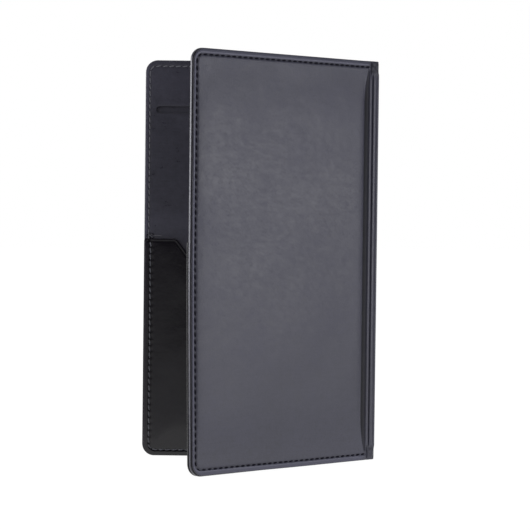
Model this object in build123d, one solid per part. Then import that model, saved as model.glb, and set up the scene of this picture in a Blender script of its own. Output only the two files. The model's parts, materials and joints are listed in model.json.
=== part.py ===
from build123d import *
import math
import os

# A folding check presenter: two stitched leatherette covers and the soft spine between them.
# Millimetres and degrees. +Z runs up the height, +X is the spine's back, and the mouth opens
# towards -X. The origin is at the middle of the footprint, on the surface it stands on.

# Overall form
cover_height = 228.6            # head to tail
cover_width = 131.2             # hinge line to free edge
corner_radius = 7.0             # outer corners at the free edge
least_corner_radius = 1.5       # inner corners of the turned hems
spine_width = 9.0               # between the two hinge lines
half_opening = 19.2             # turn of each cover from closed, as it stands

# Sheets
skin_thickness = 0.5            # outer leatherette
liner_thickness = 0.5           # inner leatherette, wrapped round the board
board_thickness = 1.2           # greyboard
stay_thickness = 0.8            # stiffening strip in the spine
lining_thickness = 0.5          # strip behind the outer leatherette at the spine
card_backing_thickness = 0.4    # sheet across the board's window, behind the card
pocket_thickness = 0.7          # check pocket's sheet
pocket_hem_thickness = 0.6      # its turned edge, which holds the sheet off the liner

# Hems, margins and clearances
hem_width = 11.0                # turned edge of the outer leatherette and of the liner
spine_hem_width = 7.0           # turned ends of the spine
pocket_hem_width = 8.0          # turned edge of a check pocket
board_setback = 12.0            # hinge line to the wrapped edge of the board
lining_tuck = 9.0               # how far the lining runs on under the board
layup_gap = 0.2                 # in-plane play round the board, padding, stay and lining
fold_clearance = 0.3            # between a cover's rounded hinge edge and the spine
outer_edge_round = 0.4          # fold of the outer leatherette
liner_edge_round = 0.8          # fold of the liner, on its inner face
liner_hem_round = 0.5           # the same fold where it meets the outer leatherette
pocket_edge_round = 0.4         # fold of the pocket's sheet

# Groove pressed into the outer leatherette beside the spine
spine_groove_setback = 8.5      # hinge line to the groove's middle
spine_groove_width = 3.8
spine_groove_depth = 0.3
spine_groove_end_margin = 6.5   # head or tail to the groove's end

# Card slot and the space for the card behind it
slot_height = 3.8
slot_below_head = 28.9          # head to the slot's middle
slot_end_margin = 6.5           # slot's ends to the edges of the liner
card_space_depth = 46.0         # slot's middle down to the floor of the card space
card_space_corner = 2.0

# Check pocket's mouth, with its thumb scoop
pocket_top = 124.5              # tail to the top of the pocket's tabs
pocket_spine_margin = 1.0       # liner's spine edge to the pocket
pocket_overhang = 0.5           # pocket's free edge past the liner's
tab_length = 19.7               # flat stretch at each end of the mouth
scoop_depth = 28.0
scoop_slope = 52.7              # degrees from the mouth's line
scoop_upper_radius = 3.0
scoop_lower_radius = 12.0

# Stitching
stitch_pitch = 3.8
stitch_length = 2.9
stitch_width = 0.6
stitch_thickness = 0.25
stitch_slant = 8.0              # degrees off the seam's line
seam_end_inset = 3.5            # head or tail to the seam's middle
seam_side_inset = 2.6           # free edge to the seam's middle
seam_corner_radius = 3.5
seam_start = 6.5                # hinge line to the first stitch outside
inside_seam_start = 3.4         # liner's spine edge to the first stitch inside
seam_room = 0.1                 # between a stitch and the sides of the seam's groove
seam_groove_depth = 0.3

# Depths below a cover's outer face
hem_floor = 2 * skin_thickness
board_face = hem_floor + liner_thickness
board_back = board_face + board_thickness
liner_face = board_back + liner_thickness
pocket_seat = liner_face + pocket_hem_thickness
pocket_face = pocket_seat + pocket_thickness

# Depths behind the spine's hinge plane
lining_seat = stay_thickness
lining_back = lining_seat + lining_thickness
spine_hem_back = lining_back + skin_thickness

# Half the seam's groove: it clears a slanted stitch, and a straight one on the seam's corner
slant_reach = stitch_length / 2 * math.sin(math.radians(stitch_slant))
corner_reach = stitch_length ** 2 / (8 * seam_corner_radius)
seam_half_width = stitch_width / 2 + slant_reach + corner_reach / 2 + seam_room

inside_seam_edge = board_setback + inside_seam_start
nose_radius = skin_thickness
strip_width = spine_width - 2 * (nose_radius + fold_clearance)
slot_middle = cover_height - slot_below_head
sides = {"back": -1, "front": 1}


def sheet_outline(side_inset, end_inset, spine_edge, radius):
    """Flat outline of a layer: square at the spine, rounded at the free edge."""
    width = cover_width - side_inset - spine_edge
    middle = Pos(-spine_edge - width / 2, cover_height / 2)
    sheet = middle * Rectangle(width, cover_height - 2 * end_inset)
    free_corners = sheet.vertices().sort_by(Axis.X)[:2]
    return fillet(free_corners, radius)


def cover_outline(inset, spine_edge):
    """Outline of a layer that lies the same inset inside the cover's edge all round."""
    return sheet_outline(inset, inset, spine_edge, max(corner_radius - inset, least_corner_radius))


def slab(outline, outer_depth, inner_depth, side):
    """Prism of an outline between two depths below a closed cover's outer face."""
    outer_y = side * (spine_width / 2 + skin_thickness - outer_depth)
    prism = extrude(Plane.XZ * outline, amount=side * (inner_depth - outer_depth))
    return Pos(0, outer_y, 0) * prism


def face_edges(solid, side, outermost):
    """Edges round a cover's outer or inner face, without those that lie along the spine."""
    faces = solid.faces().filter_by(Axis.Y).sort_by(Axis.Y)
    face = faces[-1] if (side > 0) == outermost else faces[0]
    rim = face.outer_wire().edges()
    spine_x = rim.sort_by(Axis.X)[-1].center().X
    return [edge for edge in rim if edge.center().X < spine_x - layup_gap]


def shape_hinge_edge(solid, side):
    """Round off what crosses the hinge line, to a nose about that line."""
    reach = 2 * (cover_width + cover_height)
    behind_hinge = Pos(-reach / 2, 0, 0) * Box(reach, reach, reach)
    nose = Pos(0, side * spine_width / 2, cover_height / 2) * Cylinder(nose_radius, reach)
    return solid & (behind_hinge + nose)


def seam_outline(offset, spine_edge):
    """Outline at a distance outside the seam's middle line, or inside it if negative."""
    side_inset = seam_side_inset - offset
    return sheet_outline(side_inset, seam_end_inset - offset, spine_edge, seam_corner_radius + offset)


def seam_ring(outer_depth, inner_depth, side, spine_edge):
    """Shallow channel that the stitches are pulled into."""
    outer = seam_outline(seam_half_width, spine_edge)
    inner = seam_outline(-seam_half_width, spine_edge - seam_half_width)
    return slab(outer - inner, outer_depth, inner_depth, side)


def spine_groove():
    """Flat outline of the groove beside the spine."""
    length = cover_height - 2 * spine_groove_end_margin
    middle = Pos(-spine_groove_setback, cover_height / 2)
    return middle * Rot(0, 0, 90) * SlotOverall(length, spine_groove_width)


def outer_skin(side):
    """Outer leatherette, its edges turned under, with the groove and the seam pressed in."""
    sheet = slab(cover_outline(0, -nose_radius), 0, hem_floor, side)
    sheet = fillet(face_edges(sheet, side, True), outer_edge_round)
    sheet = fillet(face_edges(sheet, side, False), outer_edge_round)
    hem_window = cover_outline(hem_width, -2 * nose_radius)
    sheet -= slab(hem_window, skin_thickness, hem_floor, side)
    sheet += slab(spine_groove(), skin_thickness, skin_thickness + spine_groove_depth, side)
    sheet -= slab(spine_groove(), 0, spine_groove_depth, side)
    sheet -= seam_ring(0, seam_groove_depth, side, seam_start)
    return shape_hinge_edge(sheet, side)


def padding(side):
    spine_edge = board_setback + lining_tuck + layup_gap
    outline = cover_outline(hem_width + layup_gap, max(spine_edge, board_setback + hem_width + layup_gap))
    return slab(outline, skin_thickness, board_face, side)


def hinge_lining(side):
    """Cover's share of the strip that backs the outer leatherette along the spine."""
    width = board_setback + lining_tuck + nose_radius
    height = cover_height - 2 * (hem_width + layup_gap)
    outline = Pos(nose_radius - width / 2, cover_height / 2) * Rectangle(width, height)
    lining = slab(outline, skin_thickness, hem_floor, side)
    lining += slab(outline & spine_groove(), hem_floor, hem_floor + spine_groove_depth, side)
    lining -= slab(spine_groove(), skin_thickness, skin_thickness + spine_groove_depth, side)
    return shape_hinge_edge(lining, side)


def card_space(inset):
    """Window in the front board, where the card sits behind the slot."""
    top = slot_middle + slot_height / 2
    bottom = slot_middle - card_space_depth
    left = -cover_width + slot_end_margin
    right = -board_setback - slot_end_margin
    window = Rectangle(right - left - 2 * inset, top - bottom - 2 * inset)
    window = fillet(window.vertices(), card_space_corner)
    return Pos((left + right) / 2, (top + bottom) / 2) * window


def card_backing(side):
    """Sheet across the window, which keeps the card off the padding."""
    return slab(card_space(layup_gap), board_face, board_face + card_backing_thickness, side)


def card_slot():
    length = cover_width - board_setback - 2 * slot_end_margin
    middle_x = -(cover_width + board_setback) / 2
    return Pos(middle_x, slot_middle) * SlotOverall(length, slot_height)


def board(side):
    inset = liner_thickness + layup_gap
    outline = cover_outline(inset, board_setback + inset)
    if side == sides["front"]:
        outline -= card_space(0)
    return slab(outline, board_face, board_back, side)


def liner(side):
    """Inner leatherette, wrapped round the board, with its hem turned onto the board's back."""
    panel = slab(cover_outline(0, board_setback), hem_floor, liner_face, side)
    panel = fillet(face_edges(panel, side, False), liner_edge_round)
    panel = fillet(face_edges(panel, side, True), liner_hem_round)
    cavity = cover_outline(liner_thickness, board_setback + liner_thickness)
    panel -= slab(cavity, board_face, board_back, side)
    hem_window = cover_outline(hem_width, board_setback + hem_width)
    panel -= slab(hem_window, hem_floor, board_face, side)
    groove = seam_ring(liner_face - seam_groove_depth, liner_face, side, inside_seam_edge)
    panel -= above(pocket_top - stitch_length, groove)
    if side == sides["front"]:
        panel -= slab(card_slot(), board_back, liner_face, side)
    return panel


def above(height, solid):
    reach = 2 * (cover_width + cover_height)
    return solid & (Pos(0, 0, height + reach / 2) * Box(reach, reach, reach))


def pocket_outline():
    """Check pocket seen flat: two tabs, and a scoop between them for the thumb."""
    spine_x = -board_setback - pocket_spine_margin
    free_x = -cover_width - pocket_overhang
    run = scoop_depth / math.tan(math.radians(scoop_slope))
    scoop_floor = pocket_top - scoop_depth
    outline = Polygon(
        (spine_x, 0),
        (spine_x, pocket_top),
        (spine_x - tab_length, pocket_top),
        (spine_x - tab_length - run, scoop_floor),
        (free_x + tab_length + run, scoop_floor),
        (free_x + tab_length, pocket_top),
        (free_x, pocket_top),
        (free_x, 0),
        align=None,
    )
    corners = outline.vertices()
    upper_bends = [corner for corner in corners if abs(corner.Y - pocket_top) < layup_gap
                   and free_x + layup_gap < corner.X < spine_x - layup_gap]
    outline = fillet(upper_bends, scoop_upper_radius)
    lower_bends = [corner for corner in outline.vertices() if abs(corner.Y - scoop_floor) < layup_gap]
    outline = fillet(lower_bends, scoop_lower_radius)
    tail_corner = outline.vertices().sort_by(lambda corner: corner.X + corner.Y)[0]
    return fillet(tail_corner, corner_radius)


def check_pocket(side):
    """Lower pocket: a sheet with turned edges on three sides, open at its scooped mouth."""
    outline = pocket_outline()
    sheet = slab(outline, liner_face, pocket_face, side)
    sheet = fillet(face_edges(sheet, side, False), pocket_edge_round)
    spine_x = -board_setback - pocket_spine_margin - pocket_hem_width
    free_x = -cover_width - pocket_overhang + pocket_hem_width
    bag = Rectangle(spine_x - free_x, cover_height)
    bag = Pos((spine_x + free_x) / 2, pocket_hem_width + cover_height / 2) * bag
    sheet -= slab(bag, liner_face, pocket_seat, side)
    return sheet - seam_ring(pocket_face - seam_groove_depth, pocket_face, side, inside_seam_edge)


def seam_path(start):
    """Line of the seam on a closed cover: along the head, down the free edge, along the tail."""
    head = cover_height - seam_end_inset
    free_x = -cover_width + seam_side_inset
    return FilletPolyline(
        (-start, 0, head),
        (free_x, 0, head),
        (free_x, 0, seam_end_inset),
        (-start, 0, seam_end_inset),
        radius=seam_corner_radius,
    )


def stitches(side, start, depth_at, inward):
    """Separate stitches along the seam, lying in its groove at the depth given for their height."""
    path = seam_path(start)
    count = int(path.length / stitch_pitch)
    half_share = stitch_length / path.length / 2
    group = []
    for index in range(count):
        share = (index + 0.5) / count
        heel = path.position_at(share - half_share)
        toe = path.position_at(share + half_share)
        place = (heel + toe) / 2
        along = toe - heel
        turn = -math.degrees(math.atan2(along.Z, along.X))
        depth = depth_at(place.Z) - inward * (seam_groove_depth - stitch_thickness / 2)
        y = side * (spine_width / 2 + skin_thickness - depth)
        stitch = Box(stitch_length, stitch_thickness, stitch_width)
        group.append(Pos(place.X, y, place.Z) * Rot(0, turn + side * stitch_slant, 0) * stitch)
    return group


def outside_stitches(side):
    return stitches(side, seam_start, lambda height: 0, -1)


def inside_stitches(side):
    def depth_at(height):
        return liner_face if height > pocket_top else pocket_face

    return stitches(side, inside_seam_edge, depth_at, 1)


def open_cover(piece, side):
    """Turn a piece from the closed position about its hinge line to where it stands."""
    hinge_y = side * spine_width / 2
    return Pos(0, hinge_y, 0) * Rot(0, 0, -side * half_opening) * Pos(0, -hinge_y, 0) * piece


def strip(outer_x, inner_x, bottom, top):
    """Part of the spine between two X planes and two heights."""
    middle = Pos((outer_x + inner_x) / 2, 0, (bottom + top) / 2)
    return middle * Box(outer_x - inner_x, strip_width, top - bottom)


def spine_skin():
    """Spine's outer leatherette, turned in over the head and the tail."""
    sheet = strip(skin_thickness, -spine_hem_back, 0, cover_height)
    turned = strip(0, -lining_back, skin_thickness, cover_height - skin_thickness)
    between_hems = strip(-lining_back, -spine_hem_back, spine_hem_width, cover_height - spine_hem_width)
    sheet -= turned
    sheet -= between_hems
    ends = sheet.faces().sort_by(Axis.X)[-1].edges().filter_by(Axis.Y)
    return fillet(ends, outer_edge_round)


def spine_pieces():
    tail = skin_thickness + layup_gap
    head = cover_height - tail
    return {
        "spine_outer_skin": spine_skin(),
        "spine_stay": strip(0, -lining_seat, tail, head),
        "spine_lining": strip(-lining_seat, -lining_back, tail, head),
    }


def cover_pieces(name):
    side = sides[name]
    pieces = {
        "outer_skin": outer_skin(side),
        "padding": padding(side),
        "board": board(side),
        "liner": liner(side),
        "hinge_lining": hinge_lining(side),
        "check_pocket": check_pocket(side),
        "outside_stitches": Compound(children=outside_stitches(side)),
        "inside_stitches": Compound(children=inside_stitches(side)),
    }
    if name == "front":
        pieces["card_backing"] = card_backing(side)
    return {f"{name}_{piece}": open_cover(solid, side) for piece, solid in pieces.items()}


def all_pieces():
    pieces = spine_pieces()
    for name in sides:
        pieces.update(cover_pieces(name))
    return pieces


def standing_place(pieces):
    """Shift that puts the middle of the footprint at the origin."""
    boxes = [piece.bounding_box() for piece in pieces.values()]
    low = min(box.min.X for box in boxes)
    high = max(box.max.X for box in boxes)
    return Pos(-(low + high) / 2, 0, 0)


pieces = all_pieces()
shift = standing_place(pieces)
os.makedirs("parts", exist_ok=True)
for node, piece in pieces.items():
    export_step(shift * piece, f"parts/{node}.step")
print("hinge lines at x", round(shift.position.X, 4), "y", spine_width / 2)
print("nodes", len(pieces))
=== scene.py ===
import json
import math

import bmesh
import bpy
import numpy as np
from mathutils import Matrix, Vector
from mathutils.geometry import delaunay_2d_cdt


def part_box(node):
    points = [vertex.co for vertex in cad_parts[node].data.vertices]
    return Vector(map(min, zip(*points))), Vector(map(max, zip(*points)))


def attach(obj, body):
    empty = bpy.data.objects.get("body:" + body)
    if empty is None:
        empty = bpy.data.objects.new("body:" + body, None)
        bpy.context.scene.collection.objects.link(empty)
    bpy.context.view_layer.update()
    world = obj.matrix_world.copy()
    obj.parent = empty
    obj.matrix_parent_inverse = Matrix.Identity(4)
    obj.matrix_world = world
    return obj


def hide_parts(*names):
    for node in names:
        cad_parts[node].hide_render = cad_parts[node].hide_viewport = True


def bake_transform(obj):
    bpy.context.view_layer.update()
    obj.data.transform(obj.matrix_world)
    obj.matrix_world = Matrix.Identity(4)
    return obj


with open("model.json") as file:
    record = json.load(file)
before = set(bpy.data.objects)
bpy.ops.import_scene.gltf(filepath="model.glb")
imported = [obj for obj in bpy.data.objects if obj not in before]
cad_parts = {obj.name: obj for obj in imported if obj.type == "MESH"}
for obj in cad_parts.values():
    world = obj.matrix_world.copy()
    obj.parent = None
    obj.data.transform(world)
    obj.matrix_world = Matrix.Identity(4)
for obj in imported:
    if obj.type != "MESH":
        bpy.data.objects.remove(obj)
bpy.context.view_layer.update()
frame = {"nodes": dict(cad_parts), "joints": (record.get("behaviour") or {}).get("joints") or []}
print("frame loaded:", len(frame["nodes"]), "nodes")

# Lengths are in millimetres up to placeOnCover and placeOnFold, which give metres in the frame.
mm = 0.001
hinge = {joint["child"]: joint for joint in frame["joints"]}["back_cover"]
hingeX, hingeY = hinge["pos_m"][0] / mm, abs(hinge["pos_m"][1]) / mm
halfOpening = math.radians(-hinge["range_deg"][0])      # each cover's turn from closed, as it stands
sinOpen, cosOpen = math.sin(halfOpening), math.cos(halfOpening)
sides = {"back": -1, "front": 1}

cover = {
    "width": 131.2,             # hinge line to free edge
    "height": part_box("back_outer_skin")[1].z / mm,
    "corner": 7.0,
    "nose": 0.5,                # outer radius of the fold at the hinge line
    "boardEdge": 12.0,
}
depths = {                      # below a cover's outer face
    "skinBack": 0.5,
    "hemBack": 1.0,
    "boardFace": 1.5,
    "boardBack": 2.7,
    "linerFace": 3.2,
    "pocketSeat": 3.8,
    "pocketFace": 4.5,
}
seam = {
    "sideInset": 2.6,
    "endInset": 3.5,
    "radius": 3.5,
    "pitch": 3.8,
    "outsideStart": 6.5,
    "insideStart": 15.4,
    "pocketDrift": 1.1,         # the check pockets' stitches stand this much further in
    "valleyWidth": 0.72,
    "valleyDepth": 0.5,
    "bridge": 0.55,             # how far the sheet comes up again between stitches
}
warp = {                        # the covers aren't quite flat or alike: -1 is the back cover, 1 the front
    "tailFlare": {-1: 2.6, 1: 0.0},             # free corner at the tail, outwards
    "flareTop": 118.0,
    "narrowing": {-1: 0.0, 1: 0.40},            # at the free edge
}
width, height = cover["width"], cover["height"]


# Numbers on arrays.

def ease(t):
    t = np.clip(t, 0, 1)
    return t * t * (3 - 2 * t)


def bell(x, middle, spread):
    return np.exp(-((x - middle) / spread) ** 2)


def slowWaves(u, z, phase):
    return (np.sin(u / 13.0 + z / 37.0 + phase) + np.sin(z / 17.0 - u / 29.0 + 2.3 * phase)
            + 0.6 * np.sin(z / 9.0 + u / 11.0 + 1.7 * phase))


def gapInside(u, z, sideInset, endInset, radius):       # distance inside a U that is open at the spine
    across = u - (width - sideInset - radius)
    along = np.abs(z - height / 2) - (height / 2 - endInset - radius)
    beyond = np.hypot(np.maximum(across, 0), np.maximum(along, 0))
    return radius - beyond - np.minimum(np.maximum(across, along), 0)


def seamGap(u, z, drift=0.0):
    return gapInside(u, z, seam["sideInset"] + drift, seam["endInset"], seam["radius"])


def seamRun(u, z, start):       # how far along the seam, and the seam's whole length
    radius = seam["radius"]
    straight = width - seam["sideInset"] - radius - start
    half = height / 2 - seam["endInset"] - radius
    off = np.abs(z - height / 2)
    turn = np.arctan2(np.maximum(u - start - straight, 0), np.maximum(off - half, 1e-6))
    run = np.clip(u - start, 0, straight) + radius * turn + np.maximum(half - off, 0)
    whole = 2 * (straight + radius * math.pi / 2 + half)
    return np.where(z >= height / 2, run, whole - run), whole


def seamValley(u, z, start, drift=0.0):         # how deep the thread pulls the sheet in
    run, whole = seamRun(u, z, start)
    count = int(whole / seam["pitch"])
    middles = 0.5 - 0.5 * np.cos(2 * math.pi * run / whole * count)
    pull = seam["valleyDepth"] * (1 - seam["bridge"] * (1 - middles))
    atEnds = ease((np.abs(z - height / 2) - height / 2 + seam["endInset"] + 2.5) / 2)
    spread = seam["valleyWidth"] * (1 - 0.3 * atEnds)
    return pull * bell(seamGap(u, z, drift), 0, spread) * ease(u - start + 0.8)


# Places in the frame.

def placeOnCover(side, u, z, depth):
    reach = np.clip(u / width, 0, 1.01)
    flare = warp["tailFlare"][side] * reach ** 1.5 * np.clip(1 - z / warp["flareTop"], 0, 1) ** 1.3
    u = u - warp["narrowing"][side] * reach
    v = depth - cover["nose"] - flare
    x = hingeX - u * cosOpen - v * sinOpen
    y = side * (hingeY + u * sinOpen - v * cosOpen)
    return np.stack([x, y, z + 0 * x], axis=-1) * mm


foldTurn = math.pi / 2 - halfOpening                    # from the cover's face round to the spine's
foldArc = cover["nose"] * foldTurn


def placeOnFold(side, u, z, depth):                     # u below 0 runs round the fold, onto the spine
    turn = foldTurn + np.clip(u, -foldArc, 0) / cover["nose"]
    reach = cover["nose"] - depth
    past = np.maximum(-foldArc - u, 0)
    x = hingeX + reach * np.cos(turn)
    y = side * (hingeY - past + reach * np.sin(turn))
    bent = np.stack([x, y, z + 0 * x], axis=-1) * mm
    return np.where((u < 0)[..., None], bent, placeOnCover(side, u, z, depth))


# Flat outlines.

def roundedPath(corners, radii, step, closed=True):
    pieces = []
    corners = [np.array(corner, float) for corner in corners]
    for i, here in enumerate(corners):
        if radii[i] == 0 or (not closed and i in (0, len(corners) - 1)):
            pieces.append([here])
            continue
        toBefore = corners[i - 1] - here
        toAfter = corners[(i + 1) % len(corners)] - here
        toBefore, toAfter = toBefore / np.hypot(*toBefore), toAfter / np.hypot(*toAfter)
        half = math.acos(np.clip(toBefore @ toAfter, -1, 1)) / 2
        middle = toBefore + toAfter
        centre = here + middle / np.hypot(*middle) * radii[i] / math.sin(half)
        first = here + toBefore * radii[i] / math.tan(half) - centre
        sweep = math.pi - 2 * half
        if toBefore[0] * toAfter[1] - toBefore[1] * toAfter[0] > 0:
            sweep = -sweep
        count = max(3, math.ceil(radii[i] * abs(sweep) / step))
        begin = math.atan2(first[1], first[0])
        angles = [begin + sweep * k / count for k in range(count + 1)]
        pieces.append([centre + radii[i] * np.array([math.cos(a), math.sin(a)]) for a in angles])
    path = []
    for i, piece in enumerate(pieces):
        path += piece
        if closed or i < len(pieces) - 1:
            start, end = piece[-1], pieces[(i + 1) % len(pieces)][0]
            count = max(1, math.ceil(np.hypot(*(end - start)) / step))
            path += [start + (end - start) * k / count for k in range(1, count)]
    return np.array(path)


def outwardOf(loop):            # material lies to the left of the loop
    along = np.roll(loop, -1, axis=0) - np.roll(loop, 1, axis=0)
    along /= np.maximum(np.hypot(along[:, 0], along[:, 1]), 1e-9)[:, None]
    return np.stack([along[:, 1], -along[:, 0]], axis=-1)


def rimRoll(face, back, radius, steps=4, middle=0.5):   # a folded edge between two depths, with painted shade growing towards its back half
    turns = [math.pi / 2 * k / steps for k in range(1, steps + 1)]
    reach = math.copysign(radius, back - face)
    near = [(radius * math.sin(a), face + reach * (1 - math.cos(a)), middle * (1 - math.cos(a)))
            for a in turns]
    far = [(radius * math.sin(a), back - reach * (1 - math.cos(a)), middle + (1 - middle) * math.cos(a))
           for a in reversed(turns)]
    return near + far


def edgeRings(start, insets, steps):                    # rows of points that follow the cover's outline
    rows = []
    for inset, step in zip(insets, steps):
        lag = (seam["endInset"] - seam["sideInset"]) * ease(inset / seam["sideInset"])
        radius = max(cover["corner"] - 1.35 * inset, 1.0)
        corners = [(start, height - inset - lag), (width - inset, height - inset - lag),
                   (width - inset, inset + lag), (start, inset + lag)]
        rows.append(roundedPath(corners, [0, radius, radius, 0], step, closed=False))
    return rows


def gridPoints(uLow, uHigh, zLow, zHigh, step):
    us = np.linspace(uLow, uHigh, max(2, round((uHigh - uLow) / step) + 1))
    zs = np.linspace(zLow, zHigh, max(2, round((zHigh - zLow) / step) + 1))
    return np.stack(np.meshgrid(us, zs), axis=-1).reshape(-1, 2)


def distanceTo(path, points):
    best = np.full(len(points), 1e9)
    for start in range(0, len(path), 64):
        part = path[start:start + 64]
        best = np.minimum(best, np.hypot(points[:, None, 0] - part[None, :, 0],
                                         points[:, None, 1] - part[None, :, 1]).min(axis=1))
    return best


def insideLoop(loop, points):
    crossings = np.zeros(len(points), int)
    for (u1, z1), (u2, z2) in zip(loop, np.roll(loop, -1, axis=0)):
        spans = (z1 > points[:, 1]) != (z2 > points[:, 1])
        if spans.any():
            at = u1 + (points[:, 1] - z1) * (u2 - u1) / (z2 - z1 if z2 != z1 else 1)
            crossings += spans & (points[:, 0] < at)
    return crossings % 2 == 1


# Meshes.

def finishMesh(name, points, faces, shade=None, sharpAngle=50):
    mesh = bpy.data.meshes.new(name)
    mesh.from_pydata([tuple(point) for point in points], [], faces)
    if shade is not None:       # painted shade towards 1 in folds and seams, painted highlight towards -1 on lit edges and patches
        mesh.attributes.new("shade", "FLOAT", "POINT").data.foreach_set("value", np.clip(shade, -1, 1))
    shaped = bmesh.new()
    shaped.from_mesh(mesh)
    loose = [vert for vert in shaped.verts if not vert.link_faces]
    bmesh.ops.delete(shaped, geom=loose, context="VERTS")
    bmesh.ops.recalc_face_normals(shaped, faces=shaped.faces)
    shaped.to_mesh(mesh)
    shaped.free()
    mesh.shade_smooth()
    mesh.set_sharp_from_angle(angle=math.radians(sharpAngle))
    piece = bpy.data.objects.new(name, mesh)
    bpy.context.scene.collection.objects.link(piece)
    return piece


def triangulate(loops, inner):
    flat = np.concatenate(loops + [inner])
    edges, first = [], 0
    for loop in loops:
        count = len(loop)
        edges += [(first + k, first + (k + 1) % count) for k in range(count)]
        first += count
    verts, _, faces, origins, _, _ = delaunay_2d_cdt(
        [Vector(point) for point in flat], edges, [], 0, 1e-5, True)
    spots = np.array([tuple(vert) for vert in verts])
    middles = spots[np.array([tuple(face) for face in faces])].mean(axis=1)
    kept = insideLoop(loops[0], middles)
    for hole in loops[1:]:
        kept &= ~insideLoop(hole, middles)
    places = {}
    for index, group in enumerate(origins):
        for origin in group:
            places[origin] = index
    rims, first = [], 0
    for loop in loops:
        rims.append([places[first + k] for k in range(len(loop))])
        first += len(loop)
    return spots, [tuple(face) for face, wanted in zip(faces, kept) if wanted], rims


def sheetMesh(name, flat, outwards, rims, levels, place, face, back, paintedShading=None):
    # flat is what triangulate gives, rims hold (outset, depth, painted shading) from the face's edge to the
    # back's
    spots, faces, loops = flat
    u, z = spots[:, 0], spots[:, 1]
    faceDepth, backDepth = face(u, z), back(u, z)
    points = [place(u, z, faceDepth), place(u, z, backDepth)]
    shade = [paintedShading(u, z) if paintedShading else 0 * u, 0 * u]
    count = len(spots)
    allFaces = list(faces) + [tuple(count + k for k in reversed(tri)) for tri in faces]
    total = 2 * count
    for loop, outward, rim in zip(loops, outwards, rims):
        previous = list(loop)
        for outset, depth, ringShading in rim:
            share = (depth - levels[0]) / (levels[1] - levels[0])
            ringU = u[loop] + outward[:, 0] * outset
            ringZ = z[loop] + outward[:, 1] * outset
            points.append(place(ringU, ringZ, faceDepth[loop] + (backDepth - faceDepth)[loop] * share))
            # painted shading of each ring of the rolled rim
            shade.append(np.full(len(loop), ringShading))
            ring = list(range(total, total + len(loop)))
            total += len(loop)
            allFaces += bandFaces(previous, ring)
            previous = ring
        allFaces += bandFaces(previous, [count + k for k in loop])
    return finishMesh(name, np.concatenate(points), allFaces, np.concatenate(shade))


def bandFaces(first, second):
    count = len(first)
    return [(first[k], first[(k + 1) % count], second[(k + 1) % count], second[k]) for k in range(count)]


def ribbonMesh(name, ribbons, shade=None):  # each ribbon is rows of closed sections, capped at its ends
    points, faces, first = [], [], 0
    for rows in ribbons:
        rows = np.array(rows)
        stations, around = rows.shape[:2]
        for i in range(stations - 1):
            ring = [first + i * around + k for k in range(around)]
            faces += bandFaces(ring, [index + around for index in ring])
        faces.append(tuple(first + k for k in range(around)))
        faces.append(tuple(first + (stations - 1) * around + k for k in reversed(range(around))))
        points.append(rows.reshape(-1, 3))
        first += stations * around
    return finishMesh(name, np.concatenate(points), faces, None if shade is None else np.ravel(shade))


# Finishes.

def addNode(tree, kind, settings=None, inputs=None, output=None):
    node = tree.nodes.new(kind)
    for key, value in (settings or {}).items():
        setattr(node, key, value)
    for key, value in (inputs or {}).items():
        if isinstance(value, Field):
            tree.links.new(value.socket, node.inputs[key])
        else:
            node.inputs[key].default_value = value
    if output is None:
        return {socket.name: Field(tree, socket) for socket in node.outputs}
    return Field(tree, node.outputs[output])


class Field:                    # a socket that takes part in sums
    def __init__(self, tree, socket):
        self.tree, self.socket = tree, socket

    def work(self, operation, *values):
        return addNode(self.tree, "ShaderNodeMath", {"operation": operation}, dict(enumerate(values)), 0)

    def __add__(self, other):
        return self.work("ADD", self, other)

    def __radd__(self, other):
        return self.work("ADD", other, self)

    def __sub__(self, other):
        return self.work("SUBTRACT", self, other)

    def __rsub__(self, other):
        return self.work("SUBTRACT", other, self)

    def __mul__(self, other):
        return self.work("MULTIPLY", self, other)

    def __rmul__(self, other):
        return self.work("MULTIPLY", other, self)

    def __rtruediv__(self, other):
        return self.work("DIVIDE", other, self)

    def most(self, other):
        return self.work("MAXIMUM", self, other)


class Finish:
    def __init__(self, name):
        self.material = bpy.data.materials.new(name)
        self.material.use_nodes = True
        self.tree = self.material.node_tree
        self.shader = self.tree.nodes["Principled BSDF"]
        self.place = self.add("ShaderNodeTexCoord", output="Object")

    def add(self, kind, settings=None, inputs=None, output=0):
        return addNode(self.tree, kind, settings, inputs, output)

    def noise(self, scale, detail=2.0, roughness=0.5, place=None):
        inputs = {"Vector": place or self.place, "Scale": scale, "Detail": detail, "Roughness": roughness}
        return self.add("ShaderNodeTexNoise", {}, inputs, "Fac")

    def mix(self, share, first, second):
        first, second = [(*value, 1) if isinstance(value, tuple) else value for value in (first, second)]
        return self.add("ShaderNodeMix", {"data_type": "RGBA"}, {0: share, 6: first, 7: second}, 2)

    def span(self, value, low, high):                   # 0 at low, 1 at high, held beyond
        return self.add("ShaderNodeMapRange", {}, {"Value": value, "From Min": low, "From Max": high})

    def bump(self, heightField, strength, distance, under=None):
        inputs = {"Height": heightField, "Strength": strength, "Distance": distance}
        if under:
            inputs["Normal"] = under
        return self.add("ShaderNodeBump", {}, inputs, "Normal")

    def give(self, **values):
        for key, value in values.items():
            slot = self.shader.inputs[key.replace("_", " ")]
            if isinstance(value, Field):
                self.tree.links.new(value.socket, slot)
            else:
                slot.default_value = value
        return self.material


leatherette = {
    "cloud": 28.0,              # per metre
    "pebble": 1450.0,
    "fine": 5200.0,
    "scuff": 260.0,
    "streak": 900.0,
    "grainHeight": 0.00005,     # metres
    "waveHeight": 0.0006,
    "foldShade": 0.2,           # what painted shade leaves of the colour in seams and folds
    "highlightGain": 2.1,            # how much lighter the painted highlight makes it
    "foldRough": 0.34,
}


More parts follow.
